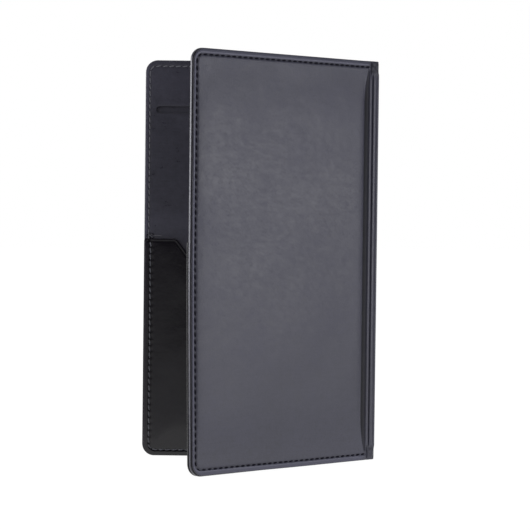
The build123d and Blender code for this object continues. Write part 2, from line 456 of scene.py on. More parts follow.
def leatheretteFinish(name, base, light, rough, specular=0.5, grain=1.0):
    finish = Finish(name)
    cloud = finish.noise(leatherette["cloud"], 4.0, 0.55)
    mottle = finish.noise(leatherette["scuff"], 3.0, 0.6)
    cells = {"Vector": finish.place, "Scale": leatherette["pebble"], "Smoothness": 0.7}
    pebble = finish.add("ShaderNodeTexVoronoi", {"feature": "SMOOTH_F1"}, cells, "Distance")
    fine = finish.noise(leatherette["fine"], 2.0, 0.6)
    brushed = finish.add("ShaderNodeMapping", {}, {"Vector": finish.place, "Scale": (0.12, 0.12, 1.0)})
    streak = finish.noise(leatherette["streak"], 2.0, 0.6, brushed)
    shade = finish.add("ShaderNodeAttribute", {"attribute_name": "shade"}, {}, "Fac")
    fold, paintedLight = shade.most(0.0), (shade * -1.0).most(0.0)
    tone = finish.span(cloud * 0.45 + mottle * 0.35 + streak * 0.2, 0.36, 0.64)
    colour = finish.mix(tone, base, light)
    dark = tuple(0.72 * part for part in base)
    colour = finish.mix(finish.span(pebble, 0.45, 0.95) * 0.5, colour, dark)
    # painted shade where the shade attribute is positive
    colour = finish.mix(fold, colour, tuple(leatherette["foldShade"] * part for part in base))
    # painted highlight where the shade attribute is negative
    colour = finish.mix(paintedLight, colour, tuple(leatherette["highlightGain"] * part for part in light))
    grainHeight = (1 - pebble) * 0.65 + fine * 0.2 + streak * 0.15
    waves = finish.bump(cloud, 0.6, leatherette["waveHeight"])
    loose = (mottle - 0.5) * 0.5 + (cloud - 0.5) * 0.45 + (streak - 0.5) * 0.3 + (pebble - 0.4) * 0.16
    return finish.give(
        Base_Color=colour,
        Roughness=rough + loose * rough + fold * leatherette["foldRough"],
        Specular_IOR_Level=specular,
        Normal=finish.bump(grainHeight, 0.55 * grain, leatherette["grainHeight"], waves),
    )


def threadFinish(name, base, light):
    finish = Finish(name)
    ply = finish.add("ShaderNodeTexWave", {"wave_type": "BANDS", "bands_direction": "DIAGONAL"},
                     {"Vector": finish.place, "Scale": 900.0, "Distortion": 1.5}, "Fac")
    fuzz = finish.noise(9000.0, 2.0, 0.6)
    return finish.give(
        Base_Color=finish.mix(ply * 0.7 + fuzz * 0.3, base, light),
        Roughness=0.75 + fuzz * 0.2,
        Specular_IOR_Level=0.12,
        Normal=finish.bump(ply * 0.7 + fuzz * 0.3, 0.5, 0.00006),
    )


def greyboardFinish():
    finish = Finish("greyboard")
    fibre = finish.noise(1800.0, 5.0, 0.7)
    fleck = finish.span(finish.noise(5200.0, 2.0, 0.5), 0.58, 0.72)
    cloud = finish.noise(60.0, 3.0, 0.5)
    colour = finish.mix(cloud * 0.5 + fibre * 0.5, (0.33, 0.31, 0.28), (0.50, 0.48, 0.44))
    colour = finish.mix(fleck * 0.5, colour, (0.16, 0.15, 0.14))
    return finish.give(Base_Color=colour, Roughness=0.88 + (fibre - 0.5) * 0.1, Specular_IOR_Level=0.25,
                       Normal=finish.bump(fibre, 0.4, 0.00008))


def foamFinish():
    finish = Finish("foamPadding")
    pores = finish.add("ShaderNodeTexVoronoi", {}, {"Vector": finish.place, "Scale": 1300.0}, "Distance")
    soft = finish.noise(90.0, 3.0, 0.5)
    colour = finish.mix(finish.span(pores, 0.1, 0.6), (0.17, 0.17, 0.18), (0.34, 0.34, 0.35))
    colour = finish.mix(soft * 0.3, colour, (0.26, 0.25, 0.24))
    return finish.give(Base_Color=colour, Roughness=0.93 - pores * 0.08, Specular_IOR_Level=0.2,
                       Normal=finish.bump(pores, 0.5, 0.0002))


def stayFinish():
    finish = Finish("spineStrip")
    drawn = finish.add("ShaderNodeTexWave", {"bands_direction": "Y"},
                       {"Vector": finish.place, "Scale": 500.0, "Distortion": 0.6}, "Fac")
    cloud = finish.noise(120.0, 3.0, 0.5)
    return finish.give(
        Base_Color=finish.mix(cloud, (0.028, 0.028, 0.030), (0.052, 0.052, 0.055)),
        Roughness=0.5 + drawn * 0.12,
        Specular_IOR_Level=0.4,
        Normal=finish.bump(drawn, 0.2, 0.00004),
    )


materials = {
    "outer": leatheretteFinish("outerLeatherette", (0.034, 0.034, 0.055), (0.052, 0.052, 0.082), 0.36),
    "inner": leatheretteFinish("innerLeatherette", (0.033, 0.032, 0.047), (0.053, 0.0515, 0.073), 0.32),
    # the pockets' own black colour, darkened further as painted shade for their place inside the opened
    # covers
    "pocket": leatheretteFinish("pocketLeatherette", (0.0034, 0.0024, 0.005), (0.0066, 0.0047, 0.0095), 0.17,
                                0.38, 0.7),
    "lining": leatheretteFinish("liningLeatherette", (0.016, 0.016, 0.022), (0.026, 0.026, 0.034), 0.52,
                                grain=1.3),
    "outsideThread": threadFinish("outsideThread", (0.003, 0.003, 0.006), (0.010, 0.009, 0.018)),
    "insideThread": threadFinish("insideThread", (0.09, 0.09, 0.105), (0.24, 0.24, 0.27)),
    "greyboard": greyboardFinish(),
    "foam": foamFinish(),
    "stay": stayFinish(),
}
print("finishes made:", len(materials))


def dress(piece, material):
    piece.data.materials.clear()
    piece.data.materials.append(materials[material])
    return piece


# Boards.

board = {
    "edge": 0.7,                # inside the inner leatherette's outline
    "round": 0.1,
    "spineCorner": 1.0,
    "window": {"left": 18.5, "right": 124.7, "low": 153.4, "high": 202.9, "corner": 2.0},
}


def boardPiece(name):
    side, rounding = sides[name], board["round"]
    inset = board["edge"] + rounding
    first, last, window = cover["boardEdge"] + inset, width - inset, board["window"]
    corners = [(first, inset), (last, inset), (last, height - inset), (first, height - inset)]
    free = cover["corner"] - inset
    loops = [roundedPath(corners, [board["spineCorner"], free, free, board["spineCorner"]], 1.5)]
    inner = gridPoints(first + 2, last - 2, inset + 2, height - inset - 2, 3.0)
    if name == "front":
        left, right = window["left"] - rounding, window["right"] + rounding
        low, high = window["low"] - rounding, window["high"] + rounding
        around = [(left, low), (right, low), (right, high), (left, high)]
        hole = roundedPath(around, [window["corner"]] * 4, 1.5)
        loops.append(hole[::-1])
        inner = inner[distanceTo(hole, inner) > 1.2]
    face, back = depths["boardBack"] - 0.02, depths["boardFace"] + 0.02
    piece = sheetMesh(f"{name}Board", triangulate(loops, inner), [outwardOf(loop) for loop in loops],
                      [rimRoll(face, back, rounding, 2)] * len(loops), (face, back),
                      lambda u, z, depth: placeOnCover(side, u, z, depth),
                      lambda u, z: face + 0.008 * slowWaves(u, z, 1.0), lambda u, z: back + 0 * u)
    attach(dress(piece, "greyboard"), f"{name}_cover")
    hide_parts(f"{name}_board")


for name in sides:
    boardPiece(name)
print("boards made")


# Outer leatherette of the covers.

skin = {
    "spineShare": 1.3,          # how far each sheet runs onto the spine past its fold
    "edgeRound": 0.5,
    "setback": 0.45,            # its folded edge stands this far inside the inner leatherette's
    "hemWidth": 11.0,
    "foldThickness": 0.45,
    "swell": 0.62,              # padding inside the seam
    "swellReach": 4.2,
    "swellEnds": 32.0,          # it builds up this slowly from the head and the tail
    "grooveInner": 6.8,         # groove beside the spine: at the ridge, and at the board's foot
    "grooveWall": 0.60,         # share of its depth at the ridge
    "grooveOuter": 8.9,
    "grooveShoulder": 2.3,      # width of the board side's slope
    "grooveDepth": 1.35,
    "grooveEnd": 5.0,           # head or tail to the groove's tip
    "grooveTaper": 21.0,
    "creaseAt": 4.2,
    "creaseSpread": 0.34,
    "creaseDepth": 1.15,
    "ridgeHeight": 0.16,
    "rollLineAt": 1.15,
    "rollLineDepth": 0.30,
    "tabLength": 7.4,           # bunched hem at the head and the tail
    "tabWidth": 5.4,
    "tabHeight": 0.30,
    # painted shade on the bunched tab
    "tabShade": 0.70,
    "endPress": 0.35,           # the fold is pressed in at the head and the tail
    "headTuck": 0.10,           # how far its ends stay short of the inner leatherette's
    "tailTuck": 0.45,           # at the free corner, and nothing at the spine
    "bead": 0.10,               # between the edge and the seam
    # painted highlight on the bead
    "beadHighlight": 0.62,
    "slopeShade": 0.30,         # painted shade where the padding starts, along the free edge
    # painted highlight along the tail edge
    "tailHighlight": 0.50,
    "wave": 0.05,
}


def foldProfile(u, z):          # groove, ridge, crease and hem bunch beside the spine
    ends = np.minimum(z, height - z)
    opened = np.sin(math.pi / 2 * np.clip((ends - skin["grooveEnd"]) / skin["grooveTaper"], 0, 1))
    foot = skin["grooveInner"] + 0.4 + (skin["grooveOuter"] - skin["grooveInner"] - 0.4) * opened
    deep = skin["grooveDepth"] * (0.7 + 0.3 * opened) * ease((ends - skin["grooveEnd"] + 1) / 2.5)
    slope = 1 - ease((u - foot) / (0.8 + (skin["grooveShoulder"] - 0.8) * opened))
    wall = skin["grooveWall"]
    rise = wall * ease((u - skin["grooveInner"] + 0.3) / 0.6)
    rise = rise + (1 - wall) * np.clip((u - skin["grooveInner"] - 0.2) / 2.0, 0, 1)
    groove = -deep * slope * rise
    run = ease((ends - skin["tabLength"]) / 2.5)
    crease = -skin["creaseDepth"] * bell(u, skin["creaseAt"], skin["creaseSpread"]) * run
    ridge = skin["ridgeHeight"] * (bell(u, 5.8, 0.8) + bell(u, 2.6, 0.8)) * run
    line = -skin["rollLineDepth"] * bell(u, skin["rollLineAt"], 0.28) * run
    tab = ease((skin["tabLength"] - ends) / 1.0) * ease((ends + 0.6) / 1.8)
    tab *= ease((u - 0.3) / 1.3) * ease((skin["tabWidth"] - u) / 0.7)
    lump = 0.75 + 0.3 * np.sin(u * 2.1 + z * 1.3)
    lump = lump + 0.2 * np.sin(z * 2.6 + 1.0) + 0.3 * np.sin(u * 3.7 - z * 0.9)
    pinch = -0.42 * bell(ends, skin["tabLength"] + 0.35, 0.42) * ease((5.4 - u) / 1.2) * ease(u + 0.8)
    notch = -0.6 * bell(u, skin["tabWidth"] + 0.35, 0.34) * ease((skin["tabLength"] + 2.5 - ends) / 3)
    press = skin["endPress"] * ease((skin["tabLength"] - ends) / 1.4)
    press = (press + 0.25 * np.clip(1 - ends / 1.3, 0, 1) ** 2) * ease((0.9 - u) / 1.4)
    return groove + crease + ridge + line + skin["tabHeight"] * tab * lump + pinch + notch - press


def foldShade(u, z):            # painted shade in the same folds, and on the bunched tab at the head and the tail
    ends = np.minimum(z, height - z)
    folds = np.clip(-foldProfile(u, z) / 1.3, 0, 1) ** 0.8 * ease((12.5 - u) / 1.5)
    tab = ease((skin["tabLength"] - ends) / 1.0) * ease((skin["tabWidth"] + 0.6 - u) / 0.8)
    return np.maximum(folds, skin["tabShade"] * tab * (0.75 + 0.25 * np.sin(1.9 * z - 1.4 * u)))


def skinLift(u, z, phase):
    inside = seamGap(u, z)
    fromSide = width - seam["sideInset"] - u
    fromEnds = np.minimum(z, height - z) - seam["endInset"]
    swell = skin["swell"] * (1 - np.exp(-np.maximum(fromSide - 0.3, 0) / skin["swellReach"]))
    swell = swell * ease(fromEnds / skin["swellEnds"]) * ease((u - skin["grooveOuter"]) / 4.5)
    waves = skin["wave"] * slowWaves(u, z, phase) * ease((inside - 1) / 12) * ease((u - 12) / 8)
    lift = swell + waves - seamValley(u, z, seam["outsideStart"])
    lift = lift + skin["bead"] * bell(inside, -1.35, 0.65) * ease(u - seam["outsideStart"])
    return lift + foldProfile(u, z)


# painted shade in folds, seam valleys and the padding's slope, weaker near the tail, and painted highlight
# on the bead and along the tail
def skinPaintedShading(u, z):
    inside, ends = seamGap(u, z), np.minimum(z, height - z)
    slope = np.exp(-np.maximum(inside, 0) / 3.0) * ease(inside + 0.6) * ease((ends - 7) / 22)
    dark = np.maximum(foldShade(u, z), seamValley(u, z, seam["outsideStart"]) / seam["valleyDepth"])
    dark = dark * (1 - 0.45 * ease((7 - z) / 3))
    dark = np.maximum(dark, skin["slopeShade"] * slope * ease((u - 60) / 30))
    highlight = skin["beadHighlight"] * bell(inside, -1.35, 0.55) * ease((u - seam["outsideStart"]) / 3)
    return dark - highlight - skin["tailHighlight"] * bell(z, 0.8, 0.8) * ease((u - 8) / 3)


def skinDent(u, z):             # small dents in the back cover's padding
    return -(0.16 * bell(u, width - 9.8, 0.8) * bell(z, 215.2, 3.2)
             + 0.20 * bell(u, width - 5.6, 2.0) * bell(z, 135.0, 8.5)
             + 0.10 * bell(u, width - 5.2, 1.6) * bell(z, 118.0, 5.0))


def skinFlat():
    first, step, rounding = -foldArc - skin["spineShare"], 0.8, skin["edgeRound"]
    last = width - skin["setback"] - rounding
    corners = [(first, rounding), (last, rounding), (last, height - rounding), (first, height - rounding)]
    free = cover["corner"] - rounding
    loop = roundedPath(corners, [0, free, free, 0], step)
    outward = outwardOf(loop)
    atSpine = loop[:, 0] < first + 1e-6
    outward[atSpine] = 0
    outward[atSpine & (loop[:, 1] < rounding + 1e-6)] = (0, -1)
    outward[atSpine & (loop[:, 1] > height - rounding - 1e-6)] = (0, 1)
    insets = [1.2, 1.45, 1.7, 1.95, 2.2, 2.4, 2.6, 2.8, 3.0, 3.25, 3.5, 3.9, 4.5, 5.4, 6.6, 8.2, 10.2, 12.6]
    steps = [0.8, 0.7, 0.65] + [0.63] * 7 + [0.7, 0.8, 1.0, 1.3, 1.6, 2.0, 2.4, 2.8]
    columns = np.concatenate([np.linspace(first, 0, 9)[1:], np.arange(0.2, 2.8, 0.2),
                              np.arange(2.9, 6.6, 0.15), np.arange(6.8, 12.3, 0.25)])
    lags = [(seam["endInset"] - seam["sideInset"]) * ease(inset / seam["sideInset"]) for inset in insets]
    endRows = [inset + lag for inset, lag in zip(insets, lags)]
    middleRows = np.linspace(endRows[-1] + 1.1, height - endRows[-1] - 1.1, 150)
    rows = np.concatenate([endRows, middleRows, [height - row for row in reversed(endRows)]])
    spineZone = np.stack(np.meshgrid(columns, rows), axis=-1).reshape(-1, 2)
    grid = gridPoints(15.0, width - 15.4, 16.0, height - 16.0, 2.9)
    return [loop], [outward], np.concatenate(edgeRings(12.6, insets, steps) + [spineZone, grid])


skinLoops, skinOutwards, skinInner = skinFlat()
skinTriangles = triangulate(skinLoops, skinInner)
print("outer leatherette: flat pattern of", len(skinTriangles[0]), "points")


def skinThickness(u, z):
    ends = np.minimum(np.minimum(z, height - z), width - u)
    thick = depths["hemBack"] - depths["skinBack"] * ease((ends - skin["hemWidth"] + 0.4) / 0.4)
    near = ease((u - 1.0) / 1.6)
    return thick * near + skin["foldThickness"] * (1 - near)


def tucked(u, z):
    head, tail = skin["headTuck"] * ease((u - 6) / 6), skin["tailTuck"] * ease((u - 45) / 75)
    short = np.where(z > height / 2, head, tail)
    return height / 2 + (z - height / 2) * (1 - 2 * short / height)


def outerSkin(name, phase):
    side = sides[name]

    def face(u, z):
        lift = skinLift(u, z, phase)
        return -(lift + skinDent(u, z)) if name == "back" else -lift

    piece = sheetMesh(
        f"{name}OuterLeatherette", skinTriangles, skinOutwards,
        [rimRoll(0, depths["hemBack"], skin["edgeRound"])], (0, depths["hemBack"]),
        lambda u, z, depth: placeOnFold(side, u, tucked(u, z), depth),
        face, lambda u, z: face(u, z) + skinThickness(u, z), skinPaintedShading)
    dress(piece, "outer")
    middle = height / 2
    start = placeOnFold(side, np.array([-foldArc - 0.15]), middle, 0.0)[0]
    end = placeOnFold(side, np.array([0.3]), middle, 0.0)[0]
    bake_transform(piece)
    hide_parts(f"{name}_outer_skin")


for name, phase in (("back", 0.4), ("front", 2.9)):
    outerSkin(name, phase)
print("outer leatherette made")


# Spine: outer leatherette with its ends turned in.

spine = {
    "halfWidth": hingeY - skin["spineShare"],
    "back": 1.8,                # hinge plane to the turned ends' inner face
    "thickness": 0.5,
    "hemLength": 7.0,
    "round": 1.2,
}


def spineSkin():
    back, nose, thick, hem = spine["back"], cover["nose"], spine["thickness"], spine["hemLength"]
    around = [(-back, hem), (-back, 0), (nose, 0), (nose, height), (-back, height), (-back, height - hem)]
    outer = roundedPath(around, [0] + [spine["round"]] * 4 + [0], 1.2, closed=False)
    inner = roundedPath([(-back + thick, hem), (-back + thick, thick), (nose - thick, thick),
                         (nose - thick, height - thick), (-back + thick, height - thick),
                         (-back + thick, height - hem)],
                        [0] + [spine["round"] - thick] * 4 + [0], 1.2, closed=False)
    section = np.concatenate([outer, inner[::-1]])
    rows, shade = [], []
    for y in np.linspace(-spine["halfWidth"], spine["halfWidth"], 21):
        u = np.full(len(section), -foldArc - (hingeY - abs(y)))
        onFace = (section[:, 0] > nose - thick - 0.05) * 1.0
        x, z = section[:, 0], section[:, 1]
        dish = -0.10 * (1 - (y / spine["halfWidth"]) ** 2) * ease((np.minimum(z, height - z) - 8) / 6)
        out = hingeX + x + (foldProfile(u, z) + dish) * onFace
        rows.append(np.stack([out, y + 0 * x, z], axis=-1) * mm)
        # painted shade in the fold and on the tab
        shade.append(foldShade(u, z))
    piece = dress(ribbonMesh("spineOuterLeatherette", [rows], shade), "outer")
    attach(piece, "spine")
    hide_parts("spine_outer_skin")


spineSkin()
print("spine made")


# Padding.

padding = {"edge": 11.2, "spineEdge": 23.2, "corner": 4.5, "round": 0.45}


def paddingFlat():
    edge, rounding = padding["edge"], padding["round"]
    left, right = padding["spineEdge"] + rounding, width - edge - rounding
    low, high = edge + rounding, height - edge - rounding
    corners = [(left, low), (right, low), (right, high), (left, high)]
    loop = roundedPath(corners, [padding["corner"]] * 4, 2.0)
    inner = gridPoints(padding["spineEdge"] + 3.6, width - edge - 3.6, edge + 3.6, height - edge - 3.6, 3.5)
    return [outwardOf(loop)], triangulate([loop], inner)


padOutwards, padTriangles = paddingFlat()


def paddingPiece(name, phase):
    side = sides[name]

    def face(u, z):
        crown = np.minimum(skinLift(u, z, phase), skin["swell"])
        return depths["skinBack"] + 0.02 - crown * 0.95

    piece = sheetMesh(f"{name}FoamPadding", padTriangles, padOutwards,
                      [rimRoll(depths["skinBack"], depths["boardFace"], padding["round"])],
                      (depths["skinBack"], depths["boardFace"]),
                      lambda u, z, depth: placeOnCover(side, u, z, depth),
                      face, lambda u, z: depths["boardFace"] - 0.02 + 0 * u)
    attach(dress(piece, "foam"), f"{name}_cover")
    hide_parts(f"{name}_padding")


for name, phase in (("back", 0.4), ("front", 2.9)):
    paddingPiece(name, phase)
print("padding made")


# Inner leatherette, wrapped round the board.

liner = {
    "thickness": 0.5,
    "faceRound": 0.65,
    "hemRound": 0.6,
    "hemShown": 5.2,            # the turned edge that this mesh carries, under the board
    "spineCorner": 1.6,
    "swell": 0.10,
    "slotLip": 0.12,
    # painted highlight along the free edge
    "edgeHighlight": 0.50,
    "mouthHighlight": 0.20,          # painted highlight above the pocket's mouth
    # painted highlight below the head
    "headHighlight": 0.16,
}
slot = {"left": 18.5, "right": 124.7, "middle": 200.15, "height": 3.8, "round": 0.18}
mouth = {
    "top": 125.7,
    "spineEdge": 13.0,
    "overhang": 0.5,
    "tab": 19.2,
    "depth": 28.0,
    "slope": math.radians(52.7),
    "upperBend": 3.0,
    "lowerBend": 12.0,
    "corner": 1.2,
}


def linerRim():                 # face, round the board's edge, hem, and back inside, with painted shade growing into the crease by the outer leatherette
    face, outside = depths["linerFace"], depths["hemBack"]
    big, small, thick = liner["faceRound"], liner["hemRound"], liner["thickness"]
    turns = [math.pi / 2 * k / 5 for k in range(1, 6)]
    path = [(big * math.sin(a), face - big * (1 - math.cos(a)), 0.0) for a in turns]
    path += [(big - small * (1 - math.sin(a)), outside + small * (1 - math.cos(a)), math.cos(a))
             for a in reversed(turns)]
    path += [(big - small - 1.0, outside, 1.0), (big - liner["hemShown"], outside, 1.0),
             (big - liner["hemShown"], outside + thick, 0.0), (big - thick, outside + thick, 0.0),
             (big - thick, depths["boardBack"] - 0.3, 0.0)]
    return path


def stadium(slotHeight, reach, step):
    half = slotHeight / 2 + reach
    left, right = slot["left"] - reach, slot["right"] + reach
    low, high = slot["middle"] - half, slot["middle"] + half
    return roundedPath([(left, low), (right, low), (right, high), (left, high)], [half * 0.999] * 4, step)


def linerFlat(withSlot):
    first, rounding = cover["boardEdge"], liner["faceRound"]
    corners = [(first + rounding, rounding), (width - rounding, rounding),
               (width - rounding, height - rounding), (first + rounding, height - rounding)]
    free = cover["corner"] - rounding
    loops = [roundedPath(corners, [liner["spineCorner"], free, free, liner["spineCorner"]], 1.0)]
    insets = [1.1, 1.45, 1.8, 2.1, 2.35, 2.6, 2.85, 3.1, 3.45, 3.9, 4.5, 5.4, 6.8, 8.6, 11.0]
    steps = [0.9, 0.8, 0.7, 0.65, 0.65, 0.65, 0.65, 0.65, 0.7, 0.8, 1.0, 1.3, 1.7, 2.2, 2.8]
    rows = edgeRings(first + 3.0, insets, steps)
    rows.append(gridPoints(first + 1.4, first + 2.6, 2.5, height - 2.5, 1.2))
    rows.append(gridPoints(first + 4.0, width - 13.5, 14.6, height - 14.6, 3.1))
    inner = np.concatenate(rows)
    if withSlot:
        hole = stadium(slot["height"], slot["round"], 0.7)
        around = [stadium(slot["height"], reach, 1.0) for reach in (0.4, 0.65, 0.95, 1.4, 2.1, 3.2)]
        box = gapToSlot(inner[:, 0], inner[:, 1])
        inner = np.concatenate([inner[box > 4.2]] + around)
        loops.append(hole[::-1])
    outwards = [outwardOf(loop) for loop in loops]
    return loops, outwards, triangulate(loops, inner)


def gapToSlot(u, z):            # distance outside the card slot
    half = slot["height"] / 2
    across = u - np.clip(u, slot["left"] + half, slot["right"] - half)
    return np.hypot(across, z - slot["middle"]) - half


def linerPiece(name, phase):
    side, withSlot = sides[name], name == "front"
    loops, outwards, triangles = linerFlat(withSlot)

    def face(u, z):
        inside = np.minimum(seamGap(u, z), u - cover["boardEdge"] - 1)
        lift = liner["swell"] * ease((inside - 1) / 9) * (1 + 0.5 * slowWaves(u, z, phase))
        lift = lift - 0.8 * seamValley(u, z, seam["insideStart"]) * ease((z - mouth["top"] + 3) / 2)
        if withSlot:
            lift = lift - liner["slotLip"] * bell(gapToSlot(u, z), 0, 0.45)
        return depths["linerFace"] + lift

    def back(u, z):
        return face(u, z) - liner["thickness"]

    def paintedShading(u, z):
        # painted shade in the seam valley and at the card slot's lip
        valley = seamValley(u, z, seam["insideStart"]) / seam["valleyDepth"]
        # painted highlight along the free edge, near the head and above the pocket
        highlight = liner["edgeHighlight"] * bell(u, width - 1.2, 1.4) + liner["headHighlight"] * bell(z, height - 13, 9)
        highlight = highlight + liner["mouthHighlight"] * bell(z, mouth["top"] + 9, 6)
        return np.maximum(valley, 0.8 * bell(gapToSlot(u, z), 0, 0.25) * withSlot) - highlight

    rims = [linerRim()]
    if withSlot:
        rims.append(rimRoll(depths["linerFace"], depths["boardBack"], slot["round"], 3))
    piece = sheetMesh(f"{name}InnerLeatherette", triangles, outwards, rims,
                      (depths["linerFace"], depths["boardBack"]),
                      lambda u, z, depth: placeOnCover(side, u, z, depth), face, back, paintedShading)
    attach(dress(piece, "inner"), f"{name}_cover")
    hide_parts(f"{name}_liner")


for name, phase in (("back", 1.1), ("front", 3.7)):
    linerPiece(name, phase)
print("inner leatherette made")


# Sheet behind the card slot.

backing = {
    "left": 18.7, "right": 124.5, "low": 153.6, "high": 202.7, "corner": 2.0,
    "front": 1.9, "back": 1.52, "round": 0.15,
}


def cardBacking():
    rounding = backing["round"]
    left, right = backing["left"] + rounding, backing["right"] - rounding
    low, high = backing["low"] + rounding, backing["high"] - rounding
    around = [(left, low), (right, low), (right, high), (left, high)]
    loop = roundedPath(around, [backing["corner"]] * 4, 1.5)
    inner = np.concatenate([gridPoints(left + 2.2, right - 2.2, low + 2.2, high - 8, 3.0),
                            gridPoints(left + 2.2, right - 2.2, high - 6.0, high - 0.8, 0.8)])

    def face(u, z):             # long creases where cards have rubbed
        creases = 0.10 * bell(z, slot["middle"] + 0.5, 0.25) * (0.5 + 0.5 * np.sin(u / 6.0))
        return backing["front"] + creases + 0.04 * np.sin(u / 15.0)

    piece = sheetMesh("frontCardBacking", triangulate([loop], inner), [outwardOf(loop)],
                      [rimRoll(backing["front"], backing["back"], rounding, 2)],
                      (backing["front"], backing["back"]),
                      lambda u, z, depth: placeOnCover(sides["front"], u, z, depth),
                      face, lambda u, z: backing["back"] + 0 * u)
    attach(dress(piece, "inner"), "front_cover")
    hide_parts("front_card_backing")


cardBacking()
print("card backing made")


# Check pockets.

pocket = {
    "round": 0.4,
    "hemWidth": 8.0,
    "swell": 0.30,
    "pressLineAt": 1.5,
    "pressLineDepth": 0.16,
    "trim": {"back": 0.35, "front": 0.5},       # taken off the free edge
    "roll": {"back": 0.1, "front": 0.8},        # how far the free edge rolls back
    # halfway shading of the rolled edge: painted shade on the back pocket's, painted highlight on the front
    # pocket's
    "edgeShading": {"back": 0.9, "front": -0.6},
    # painted highlight along the front pocket's free edge
    "edgeHighlight": {"back": 0.0, "front": 0.55},
}


def pocketCorners():
    first, last = mouth["spineEdge"], width + mouth["overhang"]
    run = mouth["depth"] / math.tan(mouth["slope"])
    floor = mouth["top"] - mouth["depth"]
    corners = [(first, 0), (last, 0), (last, mouth["top"]), (last - mouth["tab"], mouth["top"]),
               (last - mouth["tab"] - run, floor), (first + mouth["tab"] + run, floor),
               (first + mouth["tab"], mouth["top"]), (first, mouth["top"])]
    radii = [mouth["corner"], cover["corner"], mouth["corner"], mouth["upperBend"], mouth["lowerBend"],
             mouth["lowerBend"], mouth["upperBend"], mouth["corner"]]
    return corners, radii


def insetLoop(loop, inset):
    return loop - outwardOf(loop) * inset


def pocketFlat():
    corners, radii = pocketCorners()
    outline = roundedPath(corners, radii, 0.8)
    loop = insetLoop(outline, pocket["round"])
    rings = [insetLoop(outline, inset) for inset in (0.75, 1.05)]
    isMouth = outline[:, 1] > mouth["top"] - mouth["depth"] - 0.5
    isMouth &= (outline[:, 0] > mouth["spineEdge"] + 2) & (outline[:, 0] < width - 1.5)
    mouthLine = outline[isMouth]
    inner = []
    for inset, step in zip([1.45, 1.8, 2.1, 2.4, 2.7, 3.0, 3.4, 3.9, 4.6, 5.6, 7.2, 9.4],
                           [0.8, 0.7, 0.65, 0.65, 0.65, 0.65, 0.7, 0.8, 1.0, 1.4, 1.8, 2.4]):
        lag = (seam["endInset"] - seam["sideInset"]) * ease(inset / seam["sideInset"])
        radius = max(cover["corner"] - 1.35 * inset, 1.0)
        edge = [(width + mouth["overhang"] - inset, mouth["top"] - 1.4),
                (width + mouth["overhang"] - inset, inset + lag), (mouth["spineEdge"] + 1.6, inset + lag)]
        inner.append(roundedPath(edge, [0, radius, 0], step, closed=False))
    near = [mouthLine - outwardOf(outline)[isMouth] * inset for inset in (1.45, 1.75, 2.1, 2.6)]
    grid = gridPoints(mouth["spineEdge"] + 1.6, width - 11.5, 13.4, mouth["top"] - 1.6, 2.8)
    grid = grid[distanceTo(outline, grid) > 3.6]
    keep = [points[distanceTo(mouthLine, points) > 3.2] for points in inner]
    points = np.concatenate(rings + near + keep + [grid])
    points = points[insideLoop(insetLoop(outline, pocket["round"] + 0.2), points)]
    return [outwardOf(loop)], triangulate([loop], points), mouthLine


pocketOutwards, pocketTriangles, mouthLine = pocketFlat()


def checkPocket(name, phase):
    side, trim, roll = sides[name], pocket["trim"][name], pocket["roll"][name]

    def place(u, z, depth):
        return placeOnCover(side, u - trim * ease((u - width + 12) / 11), z, depth)

    def toMouth(u, z):
        return distanceTo(mouthLine, np.stack([u, z], axis=-1))

    def valley(u, z):
        return seamValley(u, z, seam["insideStart"], seam["pocketDrift"] * ease((mouth["top"] - z) / 2))

    def face(u, z):
        inside = np.minimum(np.minimum(seamGap(u, z), u - mouth["spineEdge"]), toMouth(u, z) + 3)
        lift = pocket["swell"] * ease((inside - 1) / 14) * (1 + 0.25 * slowWaves(u * 1.5, z * 1.5, phase))
        lift = lift - 1.1 * valley(u, z)
        lift = lift - pocket["pressLineDepth"] * bell(toMouth(u, z), pocket["pressLineAt"], 0.3)
        edge = np.minimum(z, width + mouth["overhang"] - u)
        lift = lift - roll * (1 - np.clip(edge / 1.9, 0, 1)) ** 2
        return depths["pocketFace"] + lift

    def paintedShading(u, z):
        # painted shade along the press line and in the seam valley
        pressed = 0.6 * bell(toMouth(u, z), pocket["pressLineAt"], 0.35)
        # painted highlight along the free edge
        highlight = pocket["edgeHighlight"][name] * ease((u - width + 2.9) / 2.4)
        return np.maximum(0.9 * valley(u, z) / seam["valleyDepth"], pressed) - highlight

    def back(u, z):
        ends = np.minimum(np.minimum(z, width + mouth["overhang"] - u), u - mouth["spineEdge"])
        hem = 1 - ease((ends - pocket["hemWidth"] + 0.6) / 0.6)
        seat = depths["linerFace"] + 0.02
        return depths["pocketSeat"] + (seat - depths["pocketSeat"]) * hem

    piece = sheetMesh(f"{name}CheckPocket", pocketTriangles, pocketOutwards,
                      [rimRoll(depths["pocketFace"], depths["linerFace"], pocket["round"],
                               middle=pocket["edgeShading"][name])],
                      (depths["pocketFace"], depths["linerFace"]),
                      place, face, back, paintedShading)
    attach(dress(piece, "pocket"), f"{name}_cover")
    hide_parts(f"{name}_check_pocket")


for name, phase in (("back", 5.1), ("front", 0.9)):
    checkPocket(name, phase)
print("check pockets made")


# Lining strips at the spine.

lining = {
    "firstU": 0.7, "lastU": 21.0, "endInset": 11.2, "press": 0.6,
    "bridgeFrom": 2.9,          # on the spine, from its middle
    "bridgeTo": 3.4,            # on the cover, from the hinge line
    "bridgeThickness": 0.3,
    "bridgeEnds": 0.9,
}


